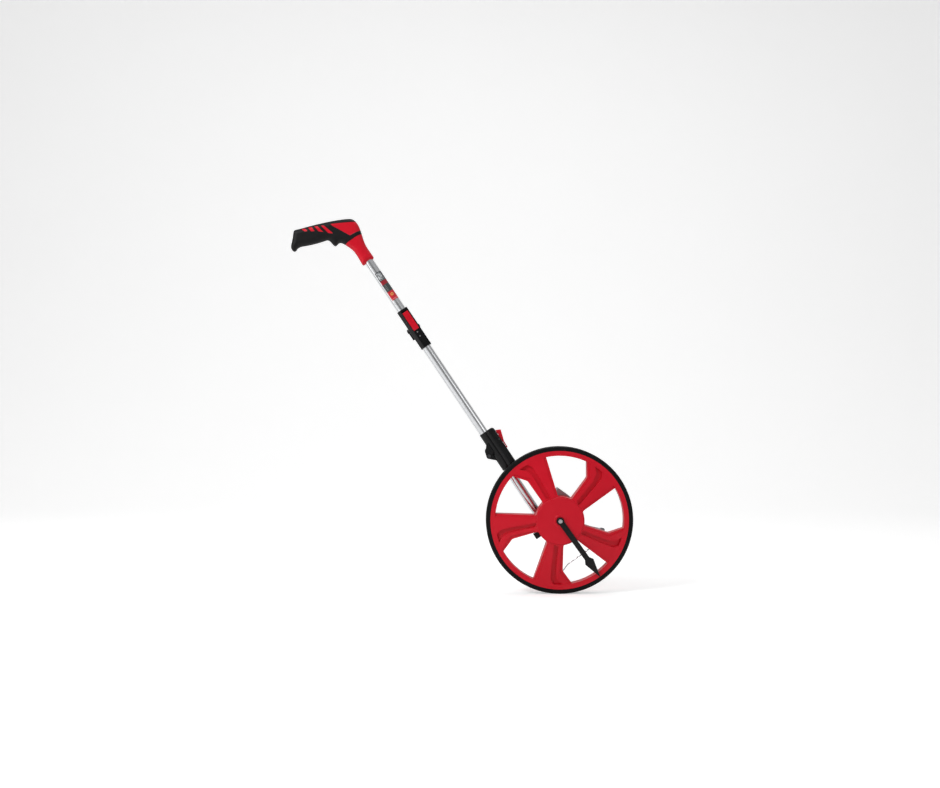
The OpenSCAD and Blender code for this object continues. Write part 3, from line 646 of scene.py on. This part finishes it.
def tube(name, points, radii, segments):
    """A round closed bar along a line of points, with a radius for each."""
    bm = bmesh.new()
    normal = None
    rings = []
    for i, point in enumerate(points):
        along = (points[min(i + 1, len(points) - 1)] - points[max(i - 1, 0)]).normalized()
        if normal is None:
            normal = along.orthogonal().normalized()
        normal = (normal - along * normal.dot(along)).normalized()
        side = along.cross(normal)
        ring = []
        for k in range(segments):
            angle = 2 * math.pi * k / segments
            spoke = normal * math.cos(angle) + side * math.sin(angle)
            ring.append(bm.verts.new(point + spoke * radii[i]))
        rings.append(ring)
    for a, b in zip(rings, rings[1:]):
        for k in range(segments):
            j = (k + 1) % segments
            bm.faces.new((a[k], a[j], b[j], b[k]))
    bm.faces.new(rings[0][::-1])
    bm.faces.new(rings[-1])
    bmesh.ops.recalc_face_normals(bm, faces=bm.faces)
    return add_object(name, bm)


def round_corners(points, steps):
    line = [points[0]]
    for before, corner, after in zip(points, points[1:], points[2:]):
        back, ahead = before - corner, after - corner
        cut = min(BEND_CUT, back.length * 0.45, ahead.length * 0.45)
        start, end = corner + back.normalized() * cut, corner + ahead.normalized() * cut
        for k in range(steps + 1):
            s = k / steps
            line.append(start * (1 - s) ** 2 + corner * 2 * s * (1 - s) + end * s * s)
    line.append(points[-1])
    return line


def stand_point(x, down):
    return mast_point(x / MM, STAND_Y + down / MM * math.sin(STAND_TILT),
                      STAND_Z - down / MM * math.cos(STAND_TILT))


def build_foot(name, index):
    """A rubber sleeve around one corner of the wire, tapered at both ends."""
    before, corner, after = (stand_point(*STAND_PATH[k]) for k in (index - 1, index, index + 1))
    line = round_corners([corner + (before - corner).normalized() * FOOT_REACH, corner,
                          corner + (after - corner).normalized() * FOOT_REACH], steps=8)
    first = [line[0] + (line[1] - line[0]) * s for s, _ in FOOT_TAPER]
    last = [line[-1] + (line[-2] - line[-1]) * s for s, _ in reversed(FOOT_TAPER)]
    taper = [radius for _, radius in FOOT_TAPER]
    bend = line[1:-1]
    radii = taper + [FOOT_RADIUS] * len(bend) + taper[::-1]
    return tube(name, first + bend + last, radii, segments=16)


wire_line = round_corners([stand_point(*corner) for corner in STAND_PATH], steps=6)
wire = tube("stand_wire_round", wire_line, [WIRE_RADIUS] * len(wire_line), segments=14)
wire.data.materials.append(materials["steel_bright"])
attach(wire, "stand")
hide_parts("stand_wire")

feet = [build_foot("stand_foot_low", 2), build_foot("stand_foot_high", 6)]
for foot in feet:
    foot.data.materials.append(materials["rubber_grey"])
    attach(foot, "stand")
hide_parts("stand_feet")


# ---------------------------------------------------------------- floor
FLOOR_XS = (-8, -3, 0, 3, 8)
FLOOR_YS = (-6.0, -3.0, 0.0, 1.6)  # the floor bends up from the last of these
BEND_RADIUS = 1.6
BEND_STEPS = 16
WALL_TOP = 6.0


def floor_material():
    g = MaterialGraph("pale_floor")
    cloud = g.noise(g.object_point(), scale=3.0)
    # the floor looks a little brighter to the camera than it is as a light
    camera_ray = g.node("ShaderNodeLightPath").outputs["Is Camera Ray"]
    return g.finish({
        "Base Color": g.mix(cloud, (0.86, 0.86, 0.86), (0.88, 0.88, 0.88)),
        "Roughness": 0.9,
        "Emission Color": (1, 1, 1, 1),
        "Emission Strength": g.times(camera_ray, 0.42),
    })


def build_floor():
    """A floor that curves up into a wall behind the wheel."""
    profile = [(y, 0.0) for y in FLOOR_YS]
    for k in range(1, BEND_STEPS + 1):
        angle = math.pi / 2 * k / BEND_STEPS
        profile.append((FLOOR_YS[-1] + BEND_RADIUS * math.sin(angle),
                        BEND_RADIUS - BEND_RADIUS * math.cos(angle)))
    profile.append((FLOOR_YS[-1] + BEND_RADIUS, WALL_TOP))
    bm = bmesh.new()
    rows = [[bm.verts.new((x, y, z)) for x in FLOOR_XS] for y, z in profile]
    for a, b in zip(rows, rows[1:]):
        for k in range(len(FLOOR_XS) - 1):
            bm.faces.new((a[k], a[k + 1], b[k + 1], b[k]))
    return add_object("studio_floor", bm)


studio_floor = build_floor()
studio_floor.data.materials.append(floor_material())


# ---------------------------------------------------------------- lights, world, camera
def area_light(name, place, target, width, height, power):
    light = bpy.data.lights.new(name, "AREA")
    light.energy = power
    light.shape = "RECTANGLE"
    light.size = width
    light.size_y = height
    obj = bpy.data.objects.new(name, light)
    obj.location = place
    aim = Vector(target) - Vector(place)
    obj.rotation_euler = aim.to_track_quat("-Z", "Y").to_euler()
    bpy.context.scene.collection.objects.link(obj)


area_light("key", (-1.9, -1.5, 2.2), target=(-0.2, 0, 0.4), width=0.9, height=0.9, power=38)
area_light("fill", (1.9, -2.0, 1.3), target=(-0.2, 0, 0.35), width=1.4, height=1.4, power=7)
area_light("top", (0.2, 0.4, 3.0), target=(-0.2, 0.2, 0.3), width=1.8, height=1.8, power=22)
area_light("strip_left", (-1.9, -0.4, 0.7), target=(-0.3, 0, 0.5), width=0.25, height=1.6,
           power=4)


def build_world():
    """Plain white to the camera; as a light, darker towards the ground."""
    world = bpy.data.worlds.new("studio")
    bpy.context.scene.world = world
    world.use_nodes = True
    g = Graph(world.node_tree)
    direction = g.node("ShaderNodeTexCoord").outputs["Generated"]
    rise = g.node("ShaderNodeSeparateXYZ", Vector=direction).outputs[2]
    glow = g.ramp(g.linear(rise, gain=0.5, offset=0.5),
                  [(0.40, 0.30), (0.56, 0.55), (0.72, 1.0), (1.0, 0.9)])
    camera_ray = g.node("ShaderNodeLightPath").outputs["Is Camera Ray"]
    color, strength = g.tree.nodes["Background"].inputs[:2]
    g.feed(color, g.mix(camera_ray, glow, (1.0, 1.0, 1.0)))
    g.feed(strength, g.linear(camera_ray, gain=0.55, offset=0.40))


build_world()
bpy.context.scene.view_settings.view_transform = "Standard"

lens = bpy.data.cameras.new("cam")
lens.lens = 42.4
lens.sensor_width = 36.0
lens.clip_end = 50
camera = bpy.data.objects.new("cam", lens)
camera.location = (-0.1934, -2.4, 0.4315)
camera.rotation_euler = (math.radians(90), 0, 0)  # level, looking towards +Y
bpy.context.scene.collection.objects.link(camera)
bpy.context.scene.camera = camera

bpy.context.view_layer.update()
